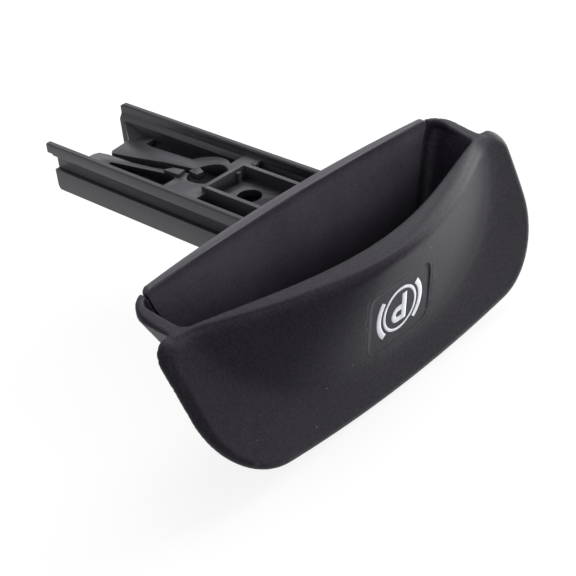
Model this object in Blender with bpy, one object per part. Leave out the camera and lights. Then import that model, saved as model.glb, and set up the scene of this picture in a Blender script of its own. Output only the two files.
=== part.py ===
"""Parking brake release handle: a moulded finger cup with a leaning face, on a ribbed slide shank.

Units are metres. While it is drawn, the origin is the middle of the sign panel on the face: +X is to the
right seen from the front, +Y runs back along the shank and +Z is the side on which the cup is open.
At the end the whole handle is moved so that the origin is the middle of its box.
"""

import math

import bmesh
import bpy
from mathutils import Vector

MM = 0.001

# Heights that the rest hangs on
RIM_HEIGHT = 16.5 * MM
FACE_DROP = 0.8 * MM
FACE_TOP = RIM_HEIGHT - FACE_DROP
BACK_RISE = 3.5 * MM
BACK_TOP = RIM_HEIGHT + BACK_RISE

# Lengths in the curves are counted against this half width
CURVE_HALF = 50.0 * MM

# Face plate: its outline, seen from the front
FACE_HALF_TOP = 60.0 * MM
FACE_HALF_BOTTOM = 56.6 * MM
FACE_SIDE_BOW = 0.2 * MM
FACE_HEIGHT = 37.1 * MM
FACE_BOTTOM = FACE_TOP - FACE_HEIGHT
FACE_TOP_RISE = 0.5 * MM
FACE_BOTTOM_RISE = 3.9 * MM
LOWER_CORNER = 17.0 * MM
UPPER_CORNER = 4.5 * MM
FACE_THICK = 2.9 * MM
FACE_EDGE = 2.2 * MM
BACK_EDGE = 0.3 * MM

# Face plate: how far back it leans and bows
LEAN_FRONT = -1.31 * MM
LEAN_SLOPE = 0.311
LEAN_CURVE = 300.0 * MM
PLATE_BOW = 1.2 * MM

# The bulge of the cup on the face, bounded by a soft oval valley
BULGE_HALF = 50.0 * MM
BULGE_HEIGHT = 28.0 * MM
BULGE_OUT = 17.1 * MM
BULGE_WIDE_POWER = 2.4
BULGE_HIGH_POWER = 1.5
BULGE_SOFT = 1.3 * MM

# Cup
CUP_HALF = 51.4 * MM
CUP_TAPER = 14.5 * MM
CUP_TAPER_POWER = 0.95
CUP_DEPTH = 28.5 * MM
CUP_FLOOR = RIM_HEIGHT - CUP_DEPTH
CUP_FLOOR_ROUND = 6.0 * MM
CUP_WALL = 2.9 * MM
CUP_FLOOR_THICK = 2.6 * MM
CUP_CORNER = 3.0 * MM
CUP_FRONT_CORNER = 1.0 * MM
CUP_SPLAY = 1.2 * MM
RIM_FRONT = 5.3 * MM
RIM_BOW = 16.0 * MM
RIM_BOW_EASE = 5.0 * MM
RIM_TUCK = 0.2 * MM
RIM_ROUND = 0.6 * MM
RIM_CLIMB_START = 18.0 * MM
RIM_CLIMB_SOFT = 3.0 * MM
RIM_CLIMB = 0.22
LIP_HEIGHT = 18.5 * MM

# Back plate that closes the cup
BACK_INNER = 30.9 * MM
BACK_INNER_BOW = 1.9 * MM
BACK_LEAN = 0.18
BACK_UPRIGHT = 6.0 * MM
BACK_LEAN_FROM = BACK_TOP - BACK_UPRIGHT
BACK_THICK = 3.2 * MM
BACK_THIN = 1.4 * MM
BACK_INSET = 3.0 * MM
BACK_FLOOR_INSET = 1.6 * MM
BACK_CORNER = 1.4 * MM
BACK_ROUND = 0.4 * MM
NOTCH_WIDE = 1.2 * MM
NOTCH_START = 1.2 * MM
SEAT_GAP = 0.3 * MM

# Sign panel
SIGN_HALF_WIDTH = 10.8 * MM
SIGN_HALF_HEIGHT = 8.4 * MM
SIGN_ASIDE = 0.2 * MM
SIGN_CENTRE = -0.4 * MM
SIGN_DEPTH = 0.3 * MM

# Shank: side walls
SHANK_HALF = 14.3 * MM
SHANK_STEP = 0.8 * MM
SHANK_TOP = BACK_TOP - SHANK_STEP
SHANK_HEIGHT = 13.2 * MM
SHANK_BOTTOM = SHANK_TOP - SHANK_HEIGHT
SHANK_SEAT = 0.7 * MM
SHANK_START = BACK_INNER + SHANK_SEAT
RIGHT_END = 106.5 * MM
LEFT_SHORT = 0.9 * MM
LEFT_LIP_END = RIGHT_END - LEFT_SHORT
LEFT_UNDERCUT = 2.0 * MM
LEFT_END = LEFT_LIP_END - LEFT_UNDERCUT
LIP_THICK = 1.8 * MM
LIP_HIGH = 2.6 * MM
LIP_LOW = SHANK_TOP - LIP_HIGH
LIP_SLOPE = 1.4 * MM
WALL_THICK = 2.7 * MM
WALL_BEVEL = 0.35 * MM
RAIL_HEIGHT = 6.2 * MM
GROOVE_LOW = SHANK_BOTTOM + RAIL_HEIGHT
GROOVE_WIDE = 3.2 * MM
GROOVE_HIGH = GROOVE_LOW + GROOVE_WIDE
GROOVE_DEPTH = 1.3 * MM
GROOVE_ROUND = 0.8 * MM
RAIL_CORNER = 1.8 * MM
LIP_CORNER = 1.0 * MM
SHANK_FLOOR_THICK = 1.6 * MM

# Shank: ribbed pocket next to the back plate
CROSS_RIB = 53.4 * MM
RIB_THICK = 1.2 * MM
BOX_HALF = 7.4 * MM
BOX_DROP = 0.5 * MM
BOX_TOP = SHANK_TOP - BOX_DROP
BOX_DEPTH = 3.5 * MM
BOX_FLOOR = BOX_TOP - BOX_DEPTH
BOX_FLOOR_THICK = 1.8 * MM
BOX_HOLE = 3.2 * MM
BOX_HOLE_FROM_RIB = 7.5 * MM
BOX_HOLE_PLACE = CROSS_RIB - BOX_HOLE_FROM_RIB
STIFFENER_FROM_BOX = 1.8 * MM
STIFFENER = BOX_HALF + STIFFENER_FROM_BOX
STIFFENER_DEEP = 0.9 * MM
STIFFENER_RISE = 0.4 * MM
POST = 3.2 * MM

# Shank: ramped web with its keyhole
WEB_DROP = 2.0 * MM
WEB_HEIGHT = SHANK_TOP - WEB_DROP
WEB_THICK = 2.0 * MM
WEB_SLOPE = 0.14
WEB_LAP = 0.05 * MM
WEB_START = CROSS_RIB - WEB_LAP
HOLE_RADIUS = 5.3 * MM
HOLE_FROM_RIB = 6.8 * MM
HOLE_PLACE = CROSS_RIB + HOLE_FROM_RIB
RING_RADIUS = 8.7 * MM
RING_FROM_HOLE = 4.1 * MM
RING_PLACE = HOLE_PLACE + RING_FROM_HOLE
WEB_FROM_END = 6.9 * MM
WEB_RIGHT_END = RIGHT_END - WEB_FROM_END
WEB_STAGGER = 3.7 * MM
WEB_LEFT_END = WEB_RIGHT_END + WEB_STAGGER
MOUTH_DEPTH = 3.0 * MM
SLOT_FROM_END = 6.6 * MM
SLOT_END = WEB_RIGHT_END - SLOT_FROM_END
SLOT_BEFORE_HOLE = 1.3 * MM
SLOT_START = HOLE_PLACE - SLOT_BEFORE_HOLE
SLOT_BEND_START = -38.0
SLOT_BEND_END = 53.0
LEFT_SLOT_AFTER_HOLE = 6.2 * MM
LEFT_SLOT_START = HOLE_PLACE + LEFT_SLOT_AFTER_HOLE
LEFT_SLOT_ROUND = 2.4 * MM
ARM_OUTER = 3.9 * MM
ARM_GAP = 1.7 * MM
ARM_GAP_END = 0.5 * MM
GAP_WIDEST = 13.0 * MM
GAP_WAIST = 22.0 * MM
RIGHT_ARM_END = 8.0 * MM
CATCH_LONG = 6.0 * MM
CATCH_RISE = 0.9 * MM
TAB_HALF = 1.5 * MM
TAB_REACH = 4.4 * MM
FLARE_STEP = 1.2 * MM
FLARE_LONG = 3.0 * MM
FLOOR_FROM_MOUTH = 2.6 * MM
FLOOR_END = WEB_RIGHT_END - FLOOR_FROM_MOUTH

# Overlap of shapes that are fused, and reach of cutters past a surface
BITE = 0.4 * MM
REACH = 4.0 * MM
WEB_HALF = SHANK_HALF - LIP_THICK + BITE

# Steps of the curved surfaces
BOTTOM_STEPS = 9
SIDE_STEPS = 5
TOP_STEPS = 15
FACE_RINGS = 9
ROUND_STEPS = 3
CUP_STEPS = 22
CORNER_STEPS = 5
RIM_STEPS = 2


def clear_scene():
    """Remove whatever the open file holds."""
    for old in list(bpy.data.objects):
        bpy.data.objects.remove(old, do_unlink=True)


def material(name, colour, roughness):
    """A plain plastic."""
    plastic = bpy.data.materials.new(name)
    plastic.use_nodes = True
    shader = plastic.node_tree.nodes["Principled BSDF"]
    shader.inputs["Base Color"].default_value = (*colour, 1.0)
    shader.inputs["Roughness"].default_value = roughness
    shader.inputs["Metallic"].default_value = 0.0
    return plastic


def smoothstep(low, high, value):
    """0 below low, 1 above high and a smooth ramp between them."""
    t = min(max((value - low) / (high - low), 0.0), 1.0)
    return t * t * (3.0 - 2.0 * t)


def share(x):
    """How far x is towards the end of the cup, squared."""
    return (x / CURVE_HALF) ** 2


def plate_y(x, z):
    """Front of the plain leaning plate, before the cup bulges out of it."""
    rise = z - FACE_BOTTOM
    return LEAN_FRONT + LEAN_SLOPE * rise + rise * rise / LEAN_CURVE - PLATE_BOW * share(x)


def bulge(x, z):
    """How far the cup stands out of the plate: nothing beyond the oval valley."""
    across = (abs(x) / BULGE_HALF) ** BULGE_WIDE_POWER
    down = (max(RIM_HEIGHT - z, 0.0) / BULGE_HEIGHT) ** BULGE_HIGH_POWER
    height = BULGE_OUT * (1.0 - (across + down) ** (1.0 / BULGE_HIGH_POWER))
    return 0.5 * (height + math.sqrt(height * height + BULGE_SOFT * BULGE_SOFT))


def face_y(x, z):
    """Front surface of the handle."""
    return plate_y(x, z) - bulge(x, z)


def face_side(z):
    """Half width of the face at a height, slightly bowed."""
    t = (z - FACE_BOTTOM) / (FACE_TOP - FACE_BOTTOM)
    straight = FACE_HALF_BOTTOM + (FACE_HALF_TOP - FACE_HALF_BOTTOM) * t
    return straight - FACE_SIDE_BOW * 4.0 * t * (1.0 - t)


def face_bottom(x):
    """Lower edge of the face, rising towards its ends."""
    return FACE_BOTTOM + FACE_BOTTOM_RISE * share(x)


def face_top(x):
    """Upper edge of the face, rising a little towards its ends."""
    return FACE_TOP + FACE_TOP_RISE * share(x)


def touching_arc(edge, side, radius, up, steps):
    """Arc that touches the edge z = edge(x) and the side x = side(z), from the edge to the side."""
    small = 0.001 * radius
    z = 0.0
    x = side(z)
    for _ in range(40):
        slope = (edge(x + small) - edge(x - small)) / (2.0 * small)
        lean = (side(z + small) - side(z - small)) / (2.0 * small)
        edge_length = math.hypot(1.0, slope)
        side_length = math.hypot(1.0, lean)
        centre_z = edge(x) + up * radius / edge_length
        centre_x = side(z) - radius / side_length
        x = centre_x + up * slope * radius / edge_length
        z = centre_z - lean * radius / side_length
    start = math.atan2(edge(x) - centre_z, x - centre_x)
    end = math.atan2(z - centre_z, side(z) - centre_x)
    points = []
    for step in range(steps + 1):
        angle = start + (end - start) * step / steps
        points.append(Vector((centre_x + radius * math.cos(angle), centre_z + radius * math.sin(angle))))
    return points


def mirrored(half):
    """A closed outline from its right half, which runs from bottom middle to top middle."""
    left = [Vector((-p.x, p.y)) for p in reversed(half[1:-1])]
    return half + left


def face_outline():
    """Outline of the face plate, counter-clockwise from its bottom middle, as (x, z) points."""
    lower = touching_arc(face_bottom, face_side, LOWER_CORNER, 1.0, 9)
    upper = touching_arc(face_top, face_side, UPPER_CORNER, -1.0, 7)
    upper.reverse()
    half = []
    for i in range(BOTTOM_STEPS):
        x = lower[0].x * i / BOTTOM_STEPS
        half.append(Vector((x, face_bottom(x))))
    half += lower
    for i in range(1, SIDE_STEPS):
        z = lower[-1].y + (upper[0].y - lower[-1].y) * i / SIDE_STEPS
        half.append(Vector((face_side(z), z)))
    half += upper
    for i in range(1, TOP_STEPS + 1):
        x = upper[-1].x * (TOP_STEPS - i) / TOP_STEPS
        half.append(Vector((x, face_top(x))))
    return mirrored(half)


def inset(outline, distance):
    """The outline moved inwards along its normals."""
    count = len(outline)
    moved = []
    for i, point in enumerate(outline):
        along = (outline[(i + 1) % count] - outline[i - 1]).normalized()
        moved.append(point + Vector((-along.y, along.x)) * distance)
    return moved


def solid_from_rings(name, rings, first_tip, last_tip, plastic):
    """A closed body through rings of points, ended by a fan to a tip or, without one, by a flat cap."""
    mesh = bpy.data.meshes.new(name)
    bm = bmesh.new()
    levels = [[bm.verts.new(p) for p in ring] for ring in rings]
    count = len(rings[0])
    for lower, upper in zip(levels, levels[1:]):
        for i in range(count):
            j = (i + 1) % count
            bm.faces.new((lower[i], lower[j], upper[j], upper[i]))
    for ring, tip in ((levels[0], first_tip), (levels[-1], last_tip)):
        if tip is None:
            bm.faces.new(ring)
            continue
        middle = bm.verts.new(tip)
        for i in range(count):
            bm.faces.new((middle, ring[i], ring[(i + 1) % count]))
    bmesh.ops.recalc_face_normals(bm, faces=bm.faces)
    if bm.calc_volume(signed=True) < 0.0:
        bmesh.ops.reverse_faces(bm, faces=bm.faces)
    bm.to_mesh(mesh)
    bm.free()
    body = bpy.data.objects.new(name, mesh)
    bpy.context.scene.collection.objects.link(body)
    body.data.materials.append(plastic)
    return body


def prism(name, outline, place, low, high, plastic):
    """A closed body: a flat outline swept from low to high, put in space by place(u, v, w)."""
    mesh = bpy.data.meshes.new(name)
    bm = bmesh.new()
    near = [bm.verts.new(place(u, v, low)) for u, v in outline]
    far = [bm.verts.new(place(u, v, high)) for u, v in outline]
    count = len(outline)
    bm.faces.new(near)
    bm.faces.new(list(reversed(far)))
    for i in range(count):
        j = (i + 1) % count
        bm.faces.new((near[j], near[i], far[i], far[j]))
    bmesh.ops.recalc_face_normals(bm, faces=bm.faces)
    if bm.calc_volume(signed=True) < 0.0:
        bmesh.ops.reverse_faces(bm, faces=bm.faces)
    bm.to_mesh(mesh)
    bm.free()
    body = bpy.data.objects.new(name, mesh)
    bpy.context.scene.collection.objects.link(body)
    body.data.materials.append(plastic)
    return body


def along_y(u, v, w):
    """Place a section drawn in (x, z) along Y."""
    return Vector((u, w, v))


def along_x(u, v, w):
    """Place an outline drawn in (y, z) along X."""
    return Vector((w, u, v))


def along_z(u, v, w):
    """Place a plan drawn in (x, y) along Z."""
    return Vector((u, v, w))


def on_web(u, v, w):
    """Place a plan drawn in (x, y) on the ramp of the web."""
    return Vector((u, v, web_height(v) + w))


def apply_tool(body, tool, operation):
    """Fuse a shape to a body, or cut it out, and keep the shape as a hidden tool."""
    change = body.modifiers.new(tool.name, "BOOLEAN")
    change.operation = operation
    change.solver = "EXACT"
    change.object = tool
    tool.hide_render = True
    tool.display_type = "WIRE"
    tool.hide_set(True)
    tool.parent = body


def fuse(body, tool):
    apply_tool(body, tool, "UNION")


def cut(body, tool):
    apply_tool(body, tool, "DIFFERENCE")


def face_plate(plastic):
    """The face: front surface, rolled edge, side and back."""
    outline = face_outline()
    border = inset(outline, FACE_EDGE)
    middle = Vector((0.0, SIGN_CENTRE))
    rings = []
    for ring in range(1, FACE_RINGS + 1):
        t = ring / FACE_RINGS
        points = [middle.lerp(p, t) for p in border]
        rings.append([Vector((p.x, face_y(p.x, p.y), p.y)) for p in points])
    for step in range(1, ROUND_STEPS + 1):
        angle = math.pi / 2.0 * step / ROUND_STEPS
        points = inset(outline, FACE_EDGE * (1.0 - math.sin(angle)))
        back = FACE_EDGE * (1.0 - math.cos(angle))
        rings.append([
            Vector((p.x, face_y(b.x, b.y) + back, p.y)) for p, b in zip(points, border)
        ])
    rings.append([
        Vector((p.x, face_y(b.x, b.y) + FACE_THICK - BACK_EDGE, p.y)) for p, b in zip(outline, border)
    ])
    for ring in range(FACE_RINGS - 1, 1, -2):
        t = ring / FACE_RINGS
        points = [middle.lerp(p, t) for p in border]
        rings.append([Vector((p.x, face_y(p.x, p.y) + FACE_THICK, p.y)) for p in points])
    front_tip = (middle.x, face_y(middle.x, middle.y), middle.y)
    back_tip = (middle.x, face_y(middle.x, middle.y) + FACE_THICK, middle.y)
    return solid_from_rings("grip", rings, front_tip, back_tip, plastic)


def rim_inner_y(x):
    """Inner edge of the front rim, seen from above."""
    s = share(x)
    return RIM_FRONT + RIM_BOW * s - RIM_BOW_EASE * s * s


def back_inner_y(x, z):
    """Inner face of the back plate, which leans in below its top."""
    return BACK_INNER - BACK_INNER_BOW * share(x) - BACK_LEAN * max(BACK_LEAN_FROM - z, 0.0)


def back_outer_y(x, z):
    """Outer face of the back plate, which thins towards its ends."""
    return back_inner_y(x, z) + BACK_THICK - BACK_THIN * share(x)


def cup_length(z):
    """Half length of the cup's inside at a height."""
    depth = min(max((RIM_HEIGHT - z) / (RIM_HEIGHT - CUP_FLOOR), 0.0), 1.3)
    return CUP_HALF - CUP_TAPER * depth ** CUP_TAPER_POWER


def cup_front_y(x, z):
    """Inside of the front wall, thick at the lip and thin below it."""
    lip = smoothstep(RIM_HEIGHT - LIP_HEIGHT, RIM_HEIGHT, z)
    wall = face_y(x, z) + CUP_WALL
    return wall + (max(rim_inner_y(x), wall) - wall) * lip


def crease_y(x):
    """Line on top of the front rim where the rounding of the face ends."""
    return face_y(x, FACE_TOP - FACE_EDGE) + FACE_EDGE


def rim_z(x, y):
    """Height of the rim: it slopes to the face and climbs along the ends to the back plate."""
    outer = face_top(x) - RIM_TUCK
    inner = max(rim_inner_y(x), crease_y(x) + RIM_ROUND)
    back = min(max((y - crease_y(x)) / (inner - crease_y(x)), 0.0), 1.0)
    past = y - RIM_CLIMB_START
    climb = 0.5 * RIM_CLIMB * (past + math.hypot(past, RIM_CLIMB_SOFT))
    return outer + (RIM_HEIGHT - outer) * back + climb


def level_section(half, splay, radii, front, back, z_of):
    """A level section between a front and a back curve, with a radius for front and for back corners."""
    end_depth = back(half) - front(half)
    corners = []
    for radius, limit in zip(radii, (0.5, 0.9)):
        corners.append((radius / half, min(2.0 * radius / end_depth, limit)))
    (front_across, front_deep), (back_across, back_deep) = corners
    square = []
    for i in range(CUP_STEPS // 2):
        square.append(((1.0 - front_across) * 2.0 * i / CUP_STEPS, -1.0))
    for i in range(CORNER_STEPS + 1):
        angle = math.pi / 2.0 * i / CORNER_STEPS
        across = 1.0 - front_across * (1.0 - math.sin(angle))
        square.append((across, -1.0 + front_deep * (1.0 - math.cos(angle))))
    square += [(1.0, -0.4), (1.0, 0.0)]
    for i in range(CORNER_STEPS + 1):
        angle = math.pi / 2.0 * i / CORNER_STEPS
        across = 1.0 - back_across * (1.0 - math.cos(angle))
        square.append((across, 1.0 - back_deep * (1.0 - math.sin(angle))))
    for i in range(1, CUP_STEPS // 2 + 1):
        square.append(((1.0 - back_across) * (1.0 - 2.0 * i / CUP_STEPS), 1.0))
    square += [(-a, b) for a, b in reversed(square[1:-1])]
    points = []
    for a, b in square:
        x = (half - splay * 0.5 * (1.0 - b)) * a
        y = front(x) + (back(x) - front(x)) * 0.5 * (b + 1.0)
        points.append(Vector((x, y, z_of(x, y))))
    return points


def cup_levels(floor, top, count):
    """Heights of the cup's sections, close together where the floor is rounded."""
    levels = [floor + CUP_FLOOR_ROUND * (1.0 - math.cos(math.pi / 2.0 * i / 4)) for i in range(5)]
    start = floor + CUP_FLOOR_ROUND
    levels += [start + (top - start) * i / count for i in range(1, count + 1)]
    return levels


def floor_round(z, floor):
    """How far a section draws in next to the rounded floor."""
    below = max(floor + CUP_FLOOR_ROUND - z, 0.0)
    return CUP_FLOOR_ROUND - math.sqrt(max(CUP_FLOOR_ROUND ** 2 - below ** 2, 0.0))


def cup_shell(plastic):
    """Outside of the cup behind the face, with a rounded rim."""
    floor = CUP_FLOOR - CUP_FLOOR_THICK
    rings = []
    for z in cup_levels(floor, RIM_HEIGHT - 4.0 * RIM_ROUND, 5):
        tuck = floor_round(z, floor)
        rings.append(level_section(
            cup_length(z) + CUP_WALL - tuck,
            0.0,
            (CUP_FRONT_CORNER, CUP_CORNER + CUP_WALL),
            lambda x, z=z: face_y(x, z) + 0.5 * FACE_THICK,
            lambda x, z=z, tuck=tuck: back_outer_y(x, z) - SEAT_GAP - tuck,
            lambda x, y, z=z: z,
        ))
    for step in range(RIM_STEPS + 1):
        angle = math.pi / 2.0 * step / RIM_STEPS
        tuck = RIM_ROUND * (1.0 - math.cos(angle))
        drop = RIM_ROUND * (1.0 - math.sin(angle))
        rings.append(level_section(
            CUP_HALF + CUP_WALL - tuck,
            0.0,
            (CUP_FRONT_CORNER, CUP_CORNER + CUP_WALL),
            lambda x, tuck=tuck: crease_y(x) + tuck,
            lambda x, tuck=tuck: back_outer_y(x, RIM_HEIGHT) - SEAT_GAP - tuck,
            lambda x, y, drop=drop: rim_z(x, y) - drop,
        ))
    rings.append(level_section(
        CUP_HALF - RIM_ROUND,
        CUP_SPLAY,
        (CUP_FRONT_CORNER, CUP_CORNER),
        lambda x: rim_inner_y(x) + RIM_ROUND,
        lambda x: back_inner_y(x, RIM_HEIGHT) - RIM_ROUND,
        rim_z,
    ))
    bottom = (0.0, 0.5 * (face_y(0.0, floor) + BACK_INNER), floor)
    top = (0.0, 0.5 * (RIM_FRONT + BACK_INNER), RIM_HEIGHT - 4.0 * RIM_ROUND)
    return solid_from_rings("cup_shell", rings, bottom, top, plastic)


def cup_hollow(plastic):
    """Inside of the cup, open above, with a rounded lip."""
    rings = []
    for z in cup_levels(CUP_FLOOR, RIM_HEIGHT - 4.0 * RIM_ROUND, 6):
        tuck = floor_round(z, CUP_FLOOR)
        rings.append(level_section(
            cup_length(z) - tuck,
            CUP_SPLAY,
            (CUP_FRONT_CORNER, CUP_CORNER),
            lambda x, z=z, tuck=tuck: cup_front_y(x, z) + tuck,
            lambda x, z=z, tuck=tuck: back_inner_y(x, z) - tuck,
            lambda x, y, z=z: z,
        ))
    lifts = []
    for step in range(RIM_STEPS + 1):
        angle = math.pi / 2.0 * step / RIM_STEPS
        lifts.append((RIM_ROUND * (1.0 - math.cos(angle)), RIM_ROUND * (math.sin(angle) - 1.0)))
    lifts.append((RIM_ROUND, 2.0 * REACH))
    for widen, lift in lifts:
        rings.append(level_section(
            CUP_HALF + widen,
            CUP_SPLAY,
            (CUP_FRONT_CORNER, CUP_CORNER + widen),
            lambda x, widen=widen: cup_front_y(x, RIM_HEIGHT) - widen,
            lambda x, widen=widen: back_inner_y(x, RIM_HEIGHT) + widen,
            lambda x, y, lift=lift: rim_z(x, y) + lift,
        ))
    bottom = (0.0, 0.5 * (face_y(0.0, CUP_FLOOR) + BACK_INNER), CUP_FLOOR)
    top = (0.0, 0.5 * (RIM_FRONT + BACK_INNER), RIM_HEIGHT + 2.0 * REACH)
    return solid_from_rings("cup_hollow", rings, bottom, top, plastic)


def back_sections(grow, reach, top, notch):
    """Sections of the back plate, or of the opening for it when it grows, reaches out and has notches."""
    floor = CUP_FLOOR + BACK_FLOOR_INSET - grow
    flare_start = RIM_HEIGHT + NOTCH_START
    levels = cup_levels(floor, BACK_LEAN_FROM, 5)
    if notch:
        levels += [flare_start, flare_start + notch]
    for step in range(4):
        levels.append(top - BACK_CORNER * (1.0 - math.sin(math.pi / 2.0 * step / 3)))
    rings = []
    for z in levels:
        into_corner = max(z - top + BACK_CORNER, 0.0)
        into_edge = max(z - top + BACK_ROUND, 0.0)
        draw_in = BACK_CORNER - math.sqrt(max(BACK_CORNER ** 2 - into_corner ** 2, 0.0))
        tuck = BACK_ROUND - math.sqrt(max(BACK_ROUND ** 2 - into_edge ** 2, 0.0)) - reach
        flare = min(max(z - flare_start, 0.0), notch)
        rings.append(level_section(
            cup_length(z) - BACK_INSET + grow + flare - floor_round(z, floor) - draw_in,
            0.0,
            (BACK_ROUND, BACK_ROUND),
            lambda x, z=z, tuck=tuck: back_inner_y(x, z) + tuck,
            lambda x, z=z, tuck=tuck: back_outer_y(x, z) - tuck,
            lambda x, y, z=z: z,
        ))
    return rings


def sign_recess(plastic):
    """Shallow panel for the sign, with a floor that follows the face."""
    steps = 48
    rings = []
    for t, depth in ((0.5, -REACH), (1.0, -REACH), (1.0, SIGN_DEPTH), (0.5, SIGN_DEPTH)):
        ring = []
        for step in range(steps):
            angle = 2.0 * math.pi * step / steps
            power = 2.0 / 7.0
            across = math.copysign(abs(math.cos(angle)) ** power, math.cos(angle))
            up = math.copysign(abs(math.sin(angle)) ** power, math.sin(angle))
            x = SIGN_ASIDE + SIGN_HALF_WIDTH * across * t
            z = SIGN_CENTRE + SIGN_HALF_HEIGHT * up * t
            ring.append(Vector((x, face_y(x, z) + depth, z)))
        rings.append(ring)
    middle = face_y(0.0, SIGN_CENTRE)
    front_tip = (0.0, middle - REACH, SIGN_CENTRE)
    back_tip = (0.0, middle + SIGN_DEPTH, SIGN_CENTRE)
    return solid_from_rings("sign_recess", rings, front_tip, back_tip, plastic)


def make_grip():
    """Soft-feel finger cup with its face, one moulding."""
    plastic = material("grip_soft_black", (0.026, 0.025, 0.028), 0.62)
    grip = face_plate(plastic)
    fuse(grip, cup_shell(plastic))
    cut(grip, cup_hollow(plastic))
    opening = back_sections(SEAT_GAP, REACH, BACK_TOP + REACH, NOTCH_WIDE)
    cut(grip, solid_from_rings("back_opening", opening, None, None, plastic))
    cut(grip, sign_recess(plastic))
    return grip


def web_height(y):
    """Top of the web: level by the pocket, then ramped down to the far end."""
    return WEB_HEIGHT - WEB_SLOPE * max(y - HOLE_PLACE, 0.0)


def arc(centre, radius, start, end, steps):
    """Points of an arc, angles in degrees."""
    points = []
    for step in range(steps + 1):
        angle = math.radians(start + (end - start) * step / steps)
        points.append((centre[0] + radius * math.cos(angle), centre[1] + radius * math.sin(angle)))
    return points


def rail_section(side):
    """Section of a side wall: thin upper lip, outer groove and a lower rail."""
    outer = SHANK_HALF
    groove = SHANK_HALF - GROOVE_DEPTH
    inner_lip = SHANK_HALF - LIP_THICK
    inner = SHANK_HALF - WALL_THICK
    points = [
        (inner, SHANK_BOTTOM),
        (outer - WALL_BEVEL, SHANK_BOTTOM),
        (outer, SHANK_BOTTOM + WALL_BEVEL),
        (outer, GROOVE_LOW),
        (groove, GROOVE_LOW),
    ]
    points += arc((groove + GROOVE_ROUND, GROOVE_HIGH), GROOVE_ROUND, 180.0, 90.0, 3)
    points += [
        (outer, GROOVE_HIGH + GROOVE_ROUND),
        (outer, SHANK_TOP - WALL_BEVEL),
        (outer - WALL_BEVEL, SHANK_TOP),
        (inner_lip + WALL_BEVEL, SHANK_TOP),
        (inner_lip, SHANK_TOP - WALL_BEVEL),
        (inner_lip, LIP_LOW),
        (inner, LIP_LOW - LIP_SLOPE),
    ]
    return [(side * x, z) for x, z in points]


def rail_wall(name, side, end, plastic):
    return prism(name, rail_section(side), along_y, SHANK_START, end, plastic)


def box(name, low, high, plastic):
    """A block between two corners."""
    outline = [(low[0], low[1]), (high[0], low[1]), (high[0], high[1]), (low[0], high[1])]
    return prism(name, outline, along_z, low[2], high[2], plastic)


def web_section():
    """Side view of the web, past its far end."""
    far = WEB_LEFT_END + BITE
    top = [(WEB_START, WEB_HEIGHT), (HOLE_PLACE, WEB_HEIGHT), (far, web_height(far))]
    return top + [(y, z - WEB_THICK) for y, z in reversed(top)]


def gap_plan():
    """Plan of the gap between the two arms, which opens in a staggered lead-in at the far end."""
    root = HOLE_PLACE + 0.8 * HOLE_RADIUS
    inside = SHANK_HALF - WALL_THICK + BITE
    outside = WEB_HALF + BITE
    beyond = WEB_LEFT_END + REACH
    return [
        (-ARM_GAP, root),
        (0.5 * ARM_GAP, root),
        (0.7 * ARM_GAP, root + GAP_WIDEST),
        (0.4 * ARM_GAP, root + GAP_WAIST),
        (ARM_GAP_END, WEB_RIGHT_END - 0.5 * MOUTH_DEPTH),
        (ARM_GAP, WEB_RIGHT_END - 0.1 * MOUTH_DEPTH),
        (RIGHT_ARM_END, WEB_RIGHT_END + 0.25 * MOUTH_DEPTH),
        (inside, WEB_RIGHT_END + 0.5 * MOUTH_DEPTH),
        (outside, WEB_RIGHT_END + 0.5 * MOUTH_DEPTH),
        (outside, beyond),
        (-outside, beyond),
        (-outside, WEB_LEFT_END),
        (-inside, WEB_LEFT_END),
        (-ARM_GAP, WEB_LEFT_END - 0.1 * MOUTH_DEPTH),
        (-ARM_GAP_END, WEB_LEFT_END - 0.4 * MOUTH_DEPTH),
        (-ARM_GAP_END, WEB_RIGHT_END - 0.5 * MOUTH_DEPTH),
        (-1.2 * ARM_GAP, root + GAP_WAIST),
        (-1.4 * ARM_GAP, root + GAP_WIDEST),
    ]


def right_slot_plan():
    """Plan of the slot beside the right arm, which bends around the ring of the keyhole."""
    wall = WEB_HALF - 0.5 * BITE
    ring = arc((0.0, RING_PLACE), RING_RADIUS, SLOT_BEND_START, SLOT_BEND_END, 10)
    corner = 0.3 * ARM_GAP
    return [
        (wall, SLOT_START),
        (wall, SLOT_END),
        (RIGHT_ARM_END + corner, SLOT_END),
        (RIGHT_ARM_END - corner, SLOT_END - 2.0 * ARM_GAP),
    ] + list(reversed(ring))


def left_slot_plan():
    """Plan of the slot beside the left arm."""
    wall = WEB_HALF - 0.5 * BITE
    bend = (-ARM_OUTER - LEFT_SLOT_ROUND, LEFT_SLOT_START + LEFT_SLOT_ROUND)
    root = arc(bend, LEFT_SLOT_ROUND, 270.0, 360.0, 4)
    return [(-wall, LEFT_SLOT_START)] + root + [
        (-ARM_OUTER, SLOT_END),
        (-wall, SLOT_END),
    ]


def catch_plan():
    """Plan of the raised block at the root of the left arm."""
    return [
        (-ARM_OUTER - 0.3 * LEFT_SLOT_ROUND, LEFT_SLOT_START - 0.1 * CATCH_LONG),
        (-1.1 * ARM_GAP, LEFT_SLOT_START),
        (-1.1 * ARM_GAP, LEFT_SLOT_START + 0.7 * CATCH_LONG),
        (-ARM_OUTER + 0.1 * ARM_GAP, LEFT_SLOT_START + CATCH_LONG),
    ]


def tab_plan():
    """Plan of the small tab that reaches from the ring over the round hole."""
    root = HOLE_PLACE + 1.2 * HOLE_RADIUS
    return [
        (-0.2 * TAB_HALF, root),
        (-0.9 * TAB_HALF, root - 0.9 * TAB_REACH),
        (0.4 * TAB_HALF, root - TAB_REACH),
        (1.9 * TAB_HALF, root),
    ]


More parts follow.
